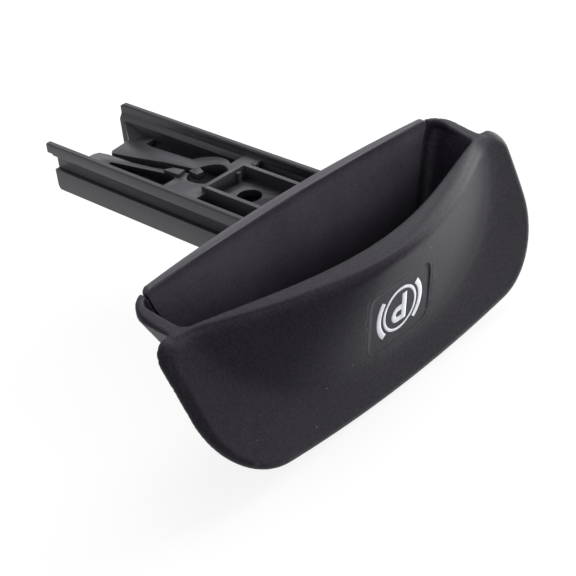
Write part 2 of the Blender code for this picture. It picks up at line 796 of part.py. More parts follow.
def web_body(plastic):
    """The web: its side view swept across, with the keyhole, the slots beside the arms, catch and tab."""
    web = prism("web", web_section(), along_x, -WEB_HALF, WEB_HALF, plastic)
    low = web_height(WEB_LEFT_END) - 2.0 * WEB_THICK
    high = WEB_HEIGHT + REACH
    hole = arc((0.0, HOLE_PLACE), HOLE_RADIUS, 0.0, 360.0 - 360.0 / 32, 31)
    cut(web, prism("round_hole", hole, along_z, low, high, plastic))
    cut(web, prism("arm_gap", gap_plan(), along_z, low, high, plastic))
    cut(web, prism("right_slot", right_slot_plan(), along_z, low, high, plastic))
    cut(web, prism("left_slot", left_slot_plan(), along_z, low, high, plastic))
    fuse(web, prism("catch", catch_plan(), on_web, -0.5 * WEB_THICK, CATCH_RISE, plastic))
    fuse(web, prism("tab", tab_plan(), on_web, -0.9 * WEB_THICK, -0.2 * BITE, plastic))
    return web


def end_flare(plastic):
    """Sloped flare that joins the right arm to the far end of the right wall."""
    wall = SHANK_HALF - WALL_THICK + BITE
    low = web_height(WEB_RIGHT_END)
    corners = [
        (wall, RIGHT_END - FLARE_STEP, LIP_LOW - LIP_SLOPE),
        (wall, RIGHT_END - FLARE_STEP, low - WEB_THICK),
        (wall, WEB_RIGHT_END - FLARE_LONG, low + BITE),
        (RIGHT_ARM_END, WEB_RIGHT_END - BITE, low - BITE),
        (RIGHT_ARM_END, WEB_RIGHT_END - BITE, low - WEB_THICK + BITE),
        (wall, WEB_RIGHT_END - FLARE_LONG, low - WEB_THICK + BITE),
    ]
    mesh = bpy.data.meshes.new("end_flare")
    bm = bmesh.new()
    points = [bm.verts.new(corner) for corner in corners]
    bmesh.ops.convex_hull(bm, input=points)
    bmesh.ops.recalc_face_normals(bm, faces=bm.faces)
    bm.to_mesh(mesh)
    bm.free()
    flare = bpy.data.objects.new("end_flare", mesh)
    bpy.context.scene.collection.objects.link(flare)
    flare.data.materials.append(plastic)
    return flare


def corner_cutter(name, side, y, z, radius, up, plastic):
    """Rounds the far corner of a side wall: what lies outside an arc that touches its end and its edge."""
    centre_y = y - radius
    centre_z = z - up * radius
    outline = []
    for step in range(5):
        angle = math.pi / 2.0 * step / 4
        outline.append((centre_y + radius * math.cos(angle), centre_z + up * radius * math.sin(angle)))
    outline += [(centre_y, z + up * REACH), (y + REACH, z + up * REACH), (y + REACH, centre_z)]
    low, high = sorted((side * (SHANK_HALF - WALL_THICK - BITE), side * (SHANK_HALF + BITE)))
    return prism(name, outline, along_x, low, high, plastic)


def make_shank():
    """Slide shank with the plate that closes the cup, one moulding."""
    plastic = material("shank_black", (0.032, 0.031, 0.033), 0.45)
    plate = back_sections(0.0, 0.0, BACK_TOP, 0.0)
    shank = solid_from_rings("slide_shank", plate, None, None, plastic)
    wall = SHANK_HALF - WALL_THICK
    wide = WEB_HALF - 0.3 * BITE
    shank_floor = SHANK_BOTTOM + WALL_BEVEL
    under = shank_floor + SHANK_FLOOR_THICK - BITE
    pocket_low = BOX_FLOOR - BOX_FLOOR_THICK
    rib_far = CROSS_RIB + RIB_THICK

    fuse(shank, rail_wall("right_wall", 1.0, RIGHT_END, plastic))
    fuse(shank, rail_wall("left_wall", -1.0, LEFT_LIP_END, plastic))
    fuse(shank, web_body(plastic))
    fuse(shank, box("shank_floor", (-wide, SHANK_START, shank_floor),
                    (wide, FLOOR_END, shank_floor + SHANK_FLOOR_THICK), plastic))
    fuse(shank, box("pocket_floor", (-BOX_HALF + BITE, SHANK_START, pocket_low),
                    (BOX_HALF - BITE, CROSS_RIB + BITE, BOX_FLOOR), plastic))
    fuse(shank, box("cross_rib", (-wide, CROSS_RIB, under),
                    (wide, rib_far, WEB_HEIGHT - 0.5 * BITE), plastic))
    fuse(shank, box("stiffener", (STIFFENER, CROSS_RIB - STIFFENER_DEEP, under),
                    (STIFFENER + RIB_THICK, CROSS_RIB + BITE, WEB_HEIGHT + STIFFENER_RISE), plastic))
    fuse(shank, box("pocket_end", (-BOX_HALF, CROSS_RIB - 2.0 * WEB_LAP, BOX_FLOOR - BITE),
                    (BOX_HALF, rib_far - WEB_LAP, BOX_TOP), plastic))
    fuse(shank, box("pocket_post", (POST, CROSS_RIB - STIFFENER_DEEP, BOX_FLOOR - BITE),
                    (POST + RIB_THICK, CROSS_RIB + BITE, BOX_TOP - 2.0 * BITE), plastic))
    for side, name in ((1.0, "pocket_right"), (-1.0, "pocket_left")):
        near, far = sorted((side * (BOX_HALF - RIB_THICK), side * (BOX_HALF - 0.1 * BITE)))
        fuse(shank, box(name, (near, SHANK_START, pocket_low - BITE),
                        (far, CROSS_RIB + BITE, BOX_TOP - 0.1 * BITE), plastic))
    fuse(shank, box("pocket_front", (-BOX_HALF + BITE, SHANK_START, BOX_FLOOR - BITE),
                    (BOX_HALF - BITE, back_outer_y(0.0, BOX_TOP) + RIB_THICK, BOX_TOP - 0.2 * BITE), plastic))

    cut(shank, prism("pocket_hole", arc((0.0, BOX_HOLE_PLACE), BOX_HOLE, 0.0, 360.0 - 360.0 / 24, 23),
                     along_z, pocket_low - BITE, BOX_FLOOR + BITE, plastic))
    cut(shank, box("left_step", (-SHANK_HALF - BITE, LEFT_END, SHANK_BOTTOM - BITE),
                   (-wall + BITE, LEFT_LIP_END + BITE, LIP_LOW), plastic))
    cut(shank, corner_cutter("right_rail_round", 1.0, RIGHT_END, SHANK_BOTTOM, RAIL_CORNER, -1.0, plastic))
    cut(shank, corner_cutter("left_rail_round", -1.0, LEFT_END, SHANK_BOTTOM, RAIL_CORNER, -1.0, plastic))
    cut(shank, corner_cutter("right_lip_round", 1.0, RIGHT_END, SHANK_TOP, LIP_CORNER, 1.0, plastic))
    fuse(shank, end_flare(plastic))
    return shank


def move_to_box_centre(bodies):
    """Put the origin in the middle of the handle's box."""
    bpy.context.view_layer.update()
    graph = bpy.context.evaluated_depsgraph_get()
    low = Vector((1.0, 1.0, 1.0))
    high = Vector((-1.0, -1.0, -1.0))
    for body in bodies:
        for vertex in body.evaluated_get(graph).data.vertices:
            for axis in range(3):
                low[axis] = min(low[axis], vertex.co[axis])
                high[axis] = max(high[axis], vertex.co[axis])
    handle = bpy.data.objects.new("handle", None)
    bpy.context.scene.collection.objects.link(handle)
    for body in bodies:
        body.parent = handle
    handle.location = -(low + high) / 2.0
    bpy.context.view_layer.update()


def shade(body, angle):
    """Smooth shading with the sharp edges kept."""
    body.data.shade_smooth()
    body.data.set_sharp_from_angle(angle=math.radians(angle))


def main():
    clear_scene()
    grip = make_grip()
    shank = make_shank()
    for body in (grip, shank):
        shade(body, 35.0)
    move_to_box_centre((grip, shank))


main()
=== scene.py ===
"""Looks of the parking brake release handle: moulded skin, print, materials, floor, lights and camera.

Shapes are worked out in millimetres round the middle of the sign's ring, with +X to the right seen from
the front, +Y back along the shank and +Z to the open side of the cup, and are then moved into the frame.
"""

import math

import bmesh
import bpy
import numpy as np
from mathutils import Matrix, Vector


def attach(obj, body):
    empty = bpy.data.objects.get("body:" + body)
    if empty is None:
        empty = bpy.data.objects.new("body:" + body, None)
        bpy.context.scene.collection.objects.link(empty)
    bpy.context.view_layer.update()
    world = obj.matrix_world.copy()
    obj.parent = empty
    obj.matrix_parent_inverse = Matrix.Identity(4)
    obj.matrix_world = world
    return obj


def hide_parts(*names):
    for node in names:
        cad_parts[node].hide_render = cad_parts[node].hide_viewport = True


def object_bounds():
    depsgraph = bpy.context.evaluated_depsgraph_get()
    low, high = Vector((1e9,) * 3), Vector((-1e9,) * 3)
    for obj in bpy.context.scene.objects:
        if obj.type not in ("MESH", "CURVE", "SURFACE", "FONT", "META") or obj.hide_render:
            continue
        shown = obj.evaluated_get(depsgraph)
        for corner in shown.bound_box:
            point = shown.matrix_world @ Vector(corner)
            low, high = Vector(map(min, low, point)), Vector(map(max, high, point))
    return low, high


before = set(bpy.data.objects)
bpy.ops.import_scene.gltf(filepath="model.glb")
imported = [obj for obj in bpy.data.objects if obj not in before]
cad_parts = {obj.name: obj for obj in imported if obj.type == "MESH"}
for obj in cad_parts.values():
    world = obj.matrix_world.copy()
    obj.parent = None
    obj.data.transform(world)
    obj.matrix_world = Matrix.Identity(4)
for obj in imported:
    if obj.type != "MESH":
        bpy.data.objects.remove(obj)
cad_low, cad_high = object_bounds()

MM = 0.001

# The farthest and the highest point of the handle, seen from the sign, place the drawing in the frame
FAR_END = 106.5
HIGHEST = 20.0
SHIFT = Vector((0.0, cad_high.y / MM - FAR_END, cad_high.z / MM - HIGHEST))

# Camera, fitted to the photograph
CAMERA_PLACE = Vector((-206.08, -177.94, 181.95))
CAMERA_RIGHT = Vector((0.67521, -0.7319, -0.09173))
CAMERA_UP = Vector((0.44962, 0.3098, 0.83777))
CAMERA_LENS = 89.2

# Lengths in the curves are counted against this half width
CURVE_HALF = 50.0

# Face plate
RIM_HEIGHT = 16.5
FACE_TOP = 15.7
FACE_TOP_RISE = 0.5
FACE_BOTTOM = -21.4
FACE_BOTTOM_RISE = 3.9
FACE_HALF_TOP = 60.0
FACE_HALF_BOTTOM = 56.6
LOWER_CORNER = 17.0
UPPER_CORNER = 4.5
FACE_THICK = 2.9
FACE_EDGE = 2.2
BACK_EDGE = 0.5
LEAN_FRONT = -1.31
LEAN_SLOPE = 0.311
LEAN_CURVE = 300.0
PLATE_BOW = 1.2

# Bulge of the cup on the face
BULGE_HALF = 50.0
BULGE_HEIGHT = 28.0
BULGE_OUT = 17.1
BULGE_WIDE_POWER = 2.4
BULGE_HIGH_POWER = 1.5
BULGE_SOFT = 1.3

# Cup
CUP_HALF = 51.4
CUP_TAPER = 14.5
CUP_FLOOR = -12.0
CUP_FLOOR_ROUND = 6.0
CUP_WALL = 2.9
CUP_FLOOR_THICK = 2.6
CUP_CORNER = 3.0
CUP_FRONT_CORNER = 1.0
CUP_SPLAY = 1.2
RIM_FRONT = 5.3
RIM_BOW = 16.0
RIM_BOW_EASE = 5.0
RIM_ROUND = 0.7
RIM_CLIMB_START = 18.0
RIM_CLIMB_SOFT = 3.0
RIM_CLIMB = 0.22
LIP_HEIGHT = 18.5

# Opening for the back plate
BACK_INNER = 30.9
BACK_INNER_BOW = 1.9
BACK_LEAN = 0.18
BACK_LEAN_FROM = 14.0
BACK_THICK = 3.2
BACK_THIN = 1.4
BACK_INSET = 3.0
BACK_FLOOR_INSET = 1.6
BACK_KNEE = 14.0
BACK_KNEE_HALF = 46.94
BACK_KNEE_SLOPE = 0.318
JOIN_FILLET = 0.4
SEAT_GAP = 0.15
NOTCH_WIDE = 0.35
NOTCH_START = 1.2

# Sign panel and what is printed on it
PANEL_HALF_WIDTH = 10.8
PANEL_HALF_HEIGHT = 8.4
PANEL_ASIDE = 0.2
PANEL_CENTRE = -0.4
PANEL_POWER = 7.0
PANEL_DEPTH = 0.3
PANEL_LAP = 0.9
PANEL_LIFT = 0.004
PANEL_SHALLOW = 0.3
PANEL_EDGE = 0.3
PANEL_STEPS = 200
PANEL_EDGE_STEPS = 6
PANEL_FLOOR_STEPS = 12
PRINT_LIFT = 0.02
PRINT_SUNK = 0.005
RING_RADIUS = 5.6
RING_WIDE = 0.8
ARC_RADIUS = 7.45
ARC_WIDE = 1.5
ARC_RIGHT = (-45.0, 41.0)
ARC_LEFT = (142.0, 226.0)
STEM_MIDDLE = 1.45
STEM_WIDE = 1.7
STEM_LOW = -3.65
STEM_HIGH = 3.85
BOWL_CENTRE = (-0.66, -1.28)
BOWL_RADIUS = 1.53
BOWL_WIDE = 1.5

# Grid from which the moulded skin is made: its cell and its corners
CELL = 0.55
GRID_LOW = (-61.0, -3.0, -23.0)
GRID_HIGH = (61.0, 33.0, 22.0)
SETTLE_ROUNDS = 3

# Softened edges of the shank: angles in degrees
SHANK_ROUND = 0.16
SHANK_SHARP = 28.0
SHANK_CREASE = 50.0
SHANK_FLAT = 1.0
SHANK_MERGE = 0.002

# Light that the world and the floor give, and the white that they show to the camera and in reflections
WORLD_LIGHT = 0.3
WORLD_WHITE = 1.0
FLOOR_LIGHT = 0.06
FLOOR_WHITE = 0.86
FLOOR_HALF = 1.5
FLOOR_GAP = 0.2
FLOOR_TONE = (0.14, 0.14, 0.14)

# Soft lamps: azimuth from +X towards +Y and elevation in degrees, and strength. With the world they
# light a white surface to 1.0 on top and 0.8 in front, but to 4.0 on the right and 0.4 on the left,
# where 1 is the plain level. Without table_right it would be 1.25 on the right and 0.5 in front
LAMP_SPREAD = 45.0
LAMPS = {
    "table_right": (0.0, -22.0, 9.7),
    "soft_right": (0.0, 22.0, 2.3),
    "soft_high": (30.0, 55.0, 1.4),
    "soft_near": (225.0, 22.0, 0.45),
    "soft_front": (315.0, 22.0, 0.4),
}

# Painted shade in recesses, standing for shadow: how near other plastic has to be, and the shares of the
# view that are still free where a recess counts as shut and as open
NARROW_RECESS_SHADE = (4.0, 0.45, 0.92)
DEEP_RECESS_SHADE = (12.0, 0.12, 0.55)

# Paler base colour on the back plate: how it varies and where it fades out, to the rear, upwards and
# downwards.
# It goes by place alone, so the plate's top strip and rear face have some of it too
PALING_VARIES = 0.25
PALING_REAR = (33.6, 34.4)
PALING_HIGH = (17.5, 21.0)
PALING_LOW = (8.0, -6.0)

# Tones of worn edges, of dust, and of the print
WORN_TONE = (0.12, 0.115, 0.13)
DUST_TONE = (0.5, 0.5, 0.5)
DUST_COVER = 0.45
PRINT_DARK = (0.69, 0.7, 0.77)
PRINT_PALE = (0.8, 0.81, 0.88)

# Sizes of the patterns, in turns to the metre
CLOUD_SCALE = 90.0
MOTTLE_SCALE = 1500.0
PALING_SCALE = 30.0
SPECK_SCALE = 420.0
SPECK_PATCH_SCALE = 60.0
PRINT_SCALE = 900.0


def share(x):
    """How far x is towards the end of the cup, squared."""
    return (x / CURVE_HALF) ** 2


def face(x, z):
    """Front surface: a leaning plate with the bulge of the cup on it."""
    rise = z - FACE_BOTTOM
    plate = LEAN_FRONT + LEAN_SLOPE * rise + rise * rise / LEAN_CURVE - PLATE_BOW * share(x)
    across = (np.abs(x) / BULGE_HALF) ** BULGE_WIDE_POWER
    down = (np.maximum(RIM_HEIGHT - z, 0.0) / BULGE_HEIGHT) ** BULGE_HIGH_POWER
    height = BULGE_OUT * (1.0 - (across + down) ** (1.0 / BULGE_HIGH_POWER))
    return plate - 0.5 * (height + np.hypot(height, BULGE_SOFT))


def steepness(x, z):
    """How much farther it is along y to the front surface than straight to it."""
    small = 0.05
    aside = (face(x + small, z) - face(x - small, z)) / (2.0 * small)
    up = (face(x, z + small) - face(x, z - small)) / (2.0 * small)
    return np.sqrt(1.0 + aside * aside + up * up)


def rounded_meet(a, b, radius):
    """What two bodies share, with a rounded edge."""
    inside = np.minimum(np.maximum(a, b), -radius)
    return inside + np.hypot(np.maximum(a + radius, 0.0), np.maximum(b + radius, 0.0))


def soft_join(a, b, width):
    """Two bodies together, with a small fillet between them."""
    near = np.maximum(width - np.abs(a - b), 0.0) / width
    return np.minimum(a, b) - near * near * width * 0.25


def rim_inner(x):
    """Inner edge of the front rim."""
    return RIM_FRONT + RIM_BOW * share(x) - RIM_BOW_EASE * share(x) ** 2


def rim_top(x, y):
    """Height of the rim: it slopes up from the face to its inner edge and climbs along the end walls."""
    crease = face(x, FACE_TOP - FACE_EDGE) + FACE_EDGE
    inner = np.maximum(rim_inner(x), crease + RIM_ROUND)
    outer = FACE_TOP + FACE_TOP_RISE * share(x)
    along = np.clip((y - crease) / (inner - crease), 0.0, 1.0)
    past = y - RIM_CLIMB_START
    climb = 0.5 * RIM_CLIMB * (past + np.hypot(past, RIM_CLIMB_SOFT))
    return outer + (RIM_HEIGHT - outer) * along + climb


def cup_length(z):
    """Half length of the cup's inside."""
    depth = np.clip((RIM_HEIGHT - z) / (RIM_HEIGHT - CUP_FLOOR), 0.0, 1.3)
    return CUP_HALF - CUP_TAPER * depth ** 0.95


def back_inner(x, z):
    """Inner face of the back plate."""
    return BACK_INNER - BACK_INNER_BOW * share(x) - BACK_LEAN * np.maximum(BACK_LEAN_FROM - z, 0.0)


def back_outer(x, z):
    """Outer face of the back plate."""
    return back_inner(x, z) + BACK_THICK - BACK_THIN * share(x)


def plate_field(x, y, z, top):
    """Distance to the face plate, below nought inside it."""
    high = (z - FACE_BOTTOM) / (FACE_TOP - FACE_BOTTOM)
    side = np.abs(x) - FACE_HALF_BOTTOM - (FACE_HALF_TOP - FACE_HALF_BOTTOM) * high
    bottom = FACE_BOTTOM + FACE_BOTTOM_RISE * share(x) - z
    outline = rounded_meet(side, bottom, LOWER_CORNER)
    outline = rounded_meet(outline, z - top, UPPER_CORNER)
    steep = steepness(x, z)
    behind = (y - face(x, z)) / steep
    body = rounded_meet(outline, -behind, FACE_EDGE)
    return rounded_meet(body, behind - FACE_THICK, BACK_EDGE)


def shell_field(x, y, z, top):
    """Distance to the outside of the cup."""
    side = np.abs(x) - cup_length(z) - CUP_WALL
    rear = y - back_outer(x, z) + SEAT_GAP
    body = rounded_meet(side, rear, CUP_CORNER + CUP_WALL)
    body = rounded_meet(body, CUP_FLOOR - CUP_FLOOR_THICK - z, CUP_FLOOR_ROUND)
    body = rounded_meet(body, z - top, RIM_ROUND)
    return np.maximum(body, face(x, z) + 0.5 * FACE_THICK - y)


def hollow_field(x, y, z):
    """Distance to the space inside the cup."""
    t = np.clip((z - RIM_HEIGHT + LIP_HEIGHT) / LIP_HEIGHT, 0.0, 1.0)
    lip = t * t * (3.0 - 2.0 * t)
    wall = face(x, z) + CUP_WALL
    front = wall + (np.maximum(rim_inner(x), wall) - wall) * lip
    rear = back_inner(x, z)
    back = np.clip((y - front) / (rear - front), 0.0, 1.0)
    side = np.abs(x) - cup_length(z) + CUP_SPLAY * (1.0 - back)
    space = rounded_meet(side, y - rear, CUP_CORNER)
    space = rounded_meet(space, (front - y) / steepness(x, z), CUP_FRONT_CORNER)
    return rounded_meet(space, CUP_FLOOR - z, CUP_FLOOR_ROUND)


def opening_field(x, y, z):
    """Distance to the opening in which the back plate sits, with a notch at its upper ends."""
    flare = np.clip(z - RIM_HEIGHT - NOTCH_START, 0.0, NOTCH_WIDE)
    plate_top = BACK_KNEE_HALF + BACK_KNEE_SLOPE * (z - BACK_KNEE)
    plate_half = np.minimum(cup_length(z) - BACK_INSET, plate_top)
    side = np.abs(x) - plate_half - SEAT_GAP - flare
    floor = CUP_FLOOR + BACK_FLOOR_INSET - SEAT_GAP - z
    space = rounded_meet(side, floor, CUP_FLOOR_ROUND)
    return np.maximum(space, back_inner(x, z) - CUP_CORNER - y)


def panel_field(x, y, z):
    """Distance to the hole in the skin behind the sign panel's own mesh."""
    across = (np.abs(x - PANEL_ASIDE) / (PANEL_HALF_WIDTH + 0.5 * PANEL_LAP)) ** PANEL_POWER
    up = (np.abs(z - PANEL_CENTRE) / (PANEL_HALF_HEIGHT + 0.5 * PANEL_LAP)) ** PANEL_POWER
    around = ((across + up) ** (1.0 / PANEL_POWER) - 1.0) * PANEL_HALF_HEIGHT
    return np.maximum(around, y - face(x, z) - 2.5 * PANEL_DEPTH)


def grip_field(x, y, z):
    """Distance to the whole moulding."""
    top = rim_top(x, y)
    body = soft_join(plate_field(x, y, z, top), shell_field(x, y, z, top), JOIN_FILLET)
    body = rounded_meet(body, -hollow_field(x, y, z), RIM_ROUND)
    body = rounded_meet(body, -opening_field(x, y, z), SEAT_GAP)
    return np.maximum(body, -panel_field(x, y, z))


def cell_points(value, axes):
    """Middle of the places where the surface crosses each cell's edges, and the cells that it crosses."""
    inside = value < 0.0
    shape = tuple(n - 1 for n in value.shape)
    total = np.zeros(shape + (3,))
    count = np.zeros(shape)
    for axis in range(3):
        near = [slice(None)] * 3
        far = [slice(None)] * 3
        near[axis] = slice(0, -1)
        far[axis] = slice(1, None)
        a = value[tuple(near)]
        b = value[tuple(far)]
        crosses = inside[tuple(near)] != inside[tuple(far)]
        part = np.where(crosses, a / np.where(crosses, a - b, 1.0), 0.0)
        others = [k for k in range(3) if k != axis]
        for first in (0, 1):
            for second in (0, 1):
                pick = [slice(None)] * 3
                pick[others[0]] = slice(first, first + shape[others[0]])
                pick[others[1]] = slice(second, second + shape[others[1]])
                hit = crosses[tuple(pick)]
                count += hit
                total[..., axis] += np.where(hit, part[tuple(pick)], 0.0)
                total[..., others[0]] += first * hit
                total[..., others[1]] += second * hit
    used = count > 0
    cells = np.argwhere(used)
    points = cells + total[used] / count[used][:, None]
    low = np.array([axis[0] for axis in axes])
    return low + points * CELL, used


def cell_quads(value, used):
    """A quad round every edge of the grid that the surface crosses, turned to face outwards."""
    index = np.full(used.shape, -1)
    index[used] = np.arange(used.sum())
    inside = value < 0.0
    quads = []
    for axis in range(3):
        others = [(axis + 1) % 3, (axis + 2) % 3]
        near = [slice(1, -1)] * 3
        far = [slice(1, -1)] * 3
        near[axis] = slice(0, -1)
        far[axis] = slice(1, None)
        leaves = inside[tuple(near)] & ~inside[tuple(far)]
        enters = ~inside[tuple(near)] & inside[tuple(far)]
        for mask, turned in ((leaves, False), (enters, True)):
            at = np.argwhere(mask)
            at[:, others[0]] += 1
            at[:, others[1]] += 1
            corners = []
            for first, second in ((1, 1), (0, 1), (0, 0), (1, 0)):
                cell = at.copy()
                cell[:, others[0]] -= first
                cell[:, others[1]] -= second
                corners.append(index[cell[:, 0], cell[:, 1], cell[:, 2]])
            if turned:
                corners.reverse()
            quads.append(np.stack(corners, axis=1))
    return np.concatenate(quads)


def onto_surface(points, field, rounds):
    """Points moved straight onto the surface."""
    small = 0.02
    for _ in range(rounds):
        x, y, z = points.T
        value = field(x, y, z)
        slope = np.stack([
            field(x + small, y, z) - field(x - small, y, z),
            field(x, y + small, z) - field(x, y - small, z),
            field(x, y, z + small) - field(x, y, z - small),
        ], axis=1) / (2.0 * small)
        length = np.maximum((slope * slope).sum(axis=1), 0.25)
        move = slope * (value / length)[:, None]
        points = points - np.clip(move, -0.5 * CELL, 0.5 * CELL)
    return points


def evened(points, quads, field, rounds):
    """Points spread evenly over the surface."""
    for _ in range(rounds):
        total = np.zeros_like(points)
        count = np.zeros(len(points))
        for corner in range(4):
            for step in (1, 3):
                np.add.at(total, quads[:, corner], points[quads[:, (corner + step) % 4]])
                np.add.at(count, quads[:, corner], 1.0)
        points = points + 0.5 * (total / count[:, None] - points)
        points = onto_surface(points, field, 2)
    return points


def new_body(name, points, faces, plastic):
    """A smooth mesh from points in millimetres round the sign."""
    mesh = bpy.data.meshes.new(name)
    placed = (np.asarray(points) + np.array(SHIFT)) * MM
    mesh.from_pydata(placed.tolist(), [], faces)
    mesh.validate()
    mesh.shade_smooth()
    body = bpy.data.objects.new(name, mesh)
    bpy.context.scene.collection.objects.link(body)
    body.data.materials.append(plastic)
    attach(body, "root")
    return body


def make_grip(plastic):
    """The finger cup with its face as one smooth skin."""
    axes = [np.arange(a, b, CELL) for a, b in zip(GRID_LOW, GRID_HIGH)]
    value = grip_field(*np.meshgrid(*axes, indexing="ij", sparse=True))
    points, used = cell_points(value, axes)
    quads = cell_quads(value, used)
    points = onto_surface(points, grip_field, SETTLE_ROUNDS)
    points = evened(points, quads, grip_field, SETTLE_ROUNDS)
    body = new_body("grip_skin", points, quads.tolist(), plastic)
    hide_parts("grip")
    return body


def panel_share(z):
    """Share of its full depth that the sign panel has at a height: it is shallow at its lower edge."""
    high = np.clip((z - PANEL_CENTRE) / (2.0 * PANEL_HALF_HEIGHT) + 0.5, 0.0, 1.0)
    return PANEL_SHALLOW + (1.0 - PANEL_SHALLOW) * high


def panel_ring(half_width, half_height, depth, steps):
    """A ring of points round the sign panel, at a depth behind the face."""
    angle = np.arange(steps) * 2.0 * np.pi / steps
    power = 2.0 / PANEL_POWER
    x = PANEL_ASIDE + half_width * np.sign(np.cos(angle)) * np.abs(np.cos(angle)) ** power
    z = PANEL_CENTRE + half_height * np.sign(np.sin(angle)) * np.abs(np.sin(angle)) ** power
    return np.stack([x, face(x, z) + depth * panel_share(z), z], axis=1)


def panel_profile():
    """Section of the panel's rim from the skin inwards: how far outside the panel, and how deep."""
    profile = [
        (PANEL_LAP, -PANEL_LIFT),
        (0.5 * PANEL_LAP, -PANEL_LIFT),
        (0.7 * PANEL_EDGE, -PANEL_LIFT),
    ]
    for part in range(1, PANEL_EDGE_STEPS + 1):
        turn = math.cos(math.pi * part / PANEL_EDGE_STEPS)
        profile.append((0.5 * PANEL_EDGE * turn, 0.5 * PANEL_DEPTH * (1.0 - turn)))
    return profile


def make_panel(plastic):
    """The shallow sign panel with its rounded edge, lapped onto the skin around it."""
    steps = PANEL_STEPS
    rings = []
    for outside, depth in panel_profile():
        rings.append(panel_ring(PANEL_HALF_WIDTH + outside, PANEL_HALF_HEIGHT + outside, depth, steps))
    for part in range(1, PANEL_FLOOR_STEPS):
        t = 1.0 - part / PANEL_FLOOR_STEPS
        half_width = (PANEL_HALF_WIDTH - PANEL_EDGE) * t
        half_height = (PANEL_HALF_HEIGHT - PANEL_EDGE) * t
        rings.append(panel_ring(half_width, half_height, PANEL_DEPTH, steps))
    middle = panel_ring(0.0, 0.0, PANEL_DEPTH, 1)
    points = np.concatenate(rings + [middle])
    faces = []
    for ring in range(len(rings) - 1):
        near = ring * steps
        far = near + steps
        for i in range(steps):
            j = (i + 1) % steps
            faces.append((near + j, near + i, far + i, far + j))
    last = (len(rings) - 1) * steps
    for i in range(steps):
        faces.append((last + (i + 1) % steps, last + i, len(points) - 1))
    body = new_body("sign_panel", points, faces, plastic)
    return body


def stroke(path, wide, closed):
    """A printed stroke along a path on the panel's floor: its points and faces."""
    path = np.asarray(path, dtype=float)
    if closed:
        along = np.roll(path, -1, axis=0) - np.roll(path, 1, axis=0)
    else:
        along = np.gradient(path, axis=0)
    along /= np.linalg.norm(along, axis=1)[:, None]
    aside = np.stack([-along[:, 1], along[:, 0]], axis=1)
    rows = []
    for across, lift in ((-0.5, 0.0), (-0.48, 1.0), (-0.2, 1.0), (0.2, 1.0), (0.48, 1.0), (0.5, 0.0)):
        spot = path + aside * across * wide
        x, z = spot.T
        floor = face(x, z) + PANEL_DEPTH * panel_share(z)
        rows.append(np.stack([x, floor - PRINT_SUNK - lift * PRINT_LIFT, z], axis=1))
    count = len(path)
    faces = []
    for row in range(len(rows) - 1):
        near = row * count
        far = near + count
        for i in range(count if closed else count - 1):
            j = (i + 1) % count
            faces.append((near + i, near + j, far + j, far + i))
    return np.concatenate(rows), faces


def circle_path(centre, radius, start, end, steps):
    """Points on a circle, angles in degrees."""
    angle = np.radians(np.linspace(start, end, steps))
    return np.stack([centre[0] + radius * np.cos(angle), centre[1] + radius * np.sin(angle)], axis=1)


def straight_path(start, end, steps):
    """Evenly spaced points on a line."""
    t = np.linspace(0.0, 1.0, steps)[:, None]
    return np.asarray(start) * (1.0 - t) + np.asarray(end) * t


def make_print(ink):
    """The parking brake sign, which stands on its head as in the photograph."""
    ring = circle_path((0.0, 0.0), RING_RADIUS, 0.0, 360.0, 97)[:-1]
    stem_side = STEM_MIDDLE - 0.5 * STEM_WIDE
    bowl_x, bowl_z = BOWL_CENTRE
    bowl = np.concatenate([
        straight_path((stem_side, bowl_z + BOWL_RADIUS), (bowl_x, bowl_z + BOWL_RADIUS), 8)[:-1],
        circle_path(BOWL_CENTRE, BOWL_RADIUS, 90.0, 270.0, 28),
        straight_path((bowl_x, bowl_z - BOWL_RADIUS), (stem_side, bowl_z - BOWL_RADIUS), 8)[1:],
    ])
    strokes = [
        stroke(ring, RING_WIDE, True),
        stroke(circle_path((0.0, 0.0), ARC_RADIUS, *ARC_RIGHT, 48), ARC_WIDE, False),
        stroke(circle_path((0.0, 0.0), ARC_RADIUS, *ARC_LEFT, 48), ARC_WIDE, False),
        stroke(straight_path((STEM_MIDDLE, STEM_LOW), (STEM_MIDDLE, STEM_HIGH), 30), STEM_WIDE, False),
        stroke(bowl, BOWL_WIDE, False),
    ]
    points = []
    faces = []
    for spots, quads in strokes:
        start = sum(len(p) for p in points)
        points.append(spots)
        faces += [tuple(start + k for k in quad) for quad in quads]
    body = new_body("sign_print", np.concatenate(points), faces, ink)
    body.data.flip_normals()
    return body


def make_shank(plastic):
    """The slide shank with its sharp edges softened."""
    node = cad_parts["slide_shank"]
    mesh = bpy.data.meshes.new("shank_skin")
    bm = bmesh.new()
    bm.from_mesh(node.data)
    bmesh.ops.remove_doubles(bm, verts=bm.verts, dist=SHANK_MERGE * MM)
    bmesh.ops.dissolve_limit(bm, angle_limit=math.radians(SHANK_FLAT), verts=bm.verts, edges=bm.edges)
    least = math.radians(SHANK_SHARP)
    sharp = [e for e in bm.edges if len(e.link_faces) == 2 and e.calc_face_angle() > least]
    bmesh.ops.bevel(
        bm,
        geom=sharp,
        offset=SHANK_ROUND * MM,
        segments=2,
        profile=0.5,
        affect="EDGES",
        clamp_overlap=True,
    )
    bm.to_mesh(mesh)
    bm.free()
    mesh.shade_smooth()
    mesh.set_sharp_from_angle(angle=math.radians(SHANK_CREASE))
    body = bpy.data.objects.new("shank_skin", mesh)
    bpy.context.scene.collection.objects.link(body)
    body.matrix_world = node.matrix_world
    body.data.materials.append(plastic)
    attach(body, "root")
    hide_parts("slide_shank")
    return body


def node_tree(name):
    """A new material and the tools to fill its node tree."""
    made = bpy.data.materials.new(name)
    made.use_nodes = True
    tree = made.node_tree
    shader = tree.nodes["Principled BSDF"]
    return made, tree, shader


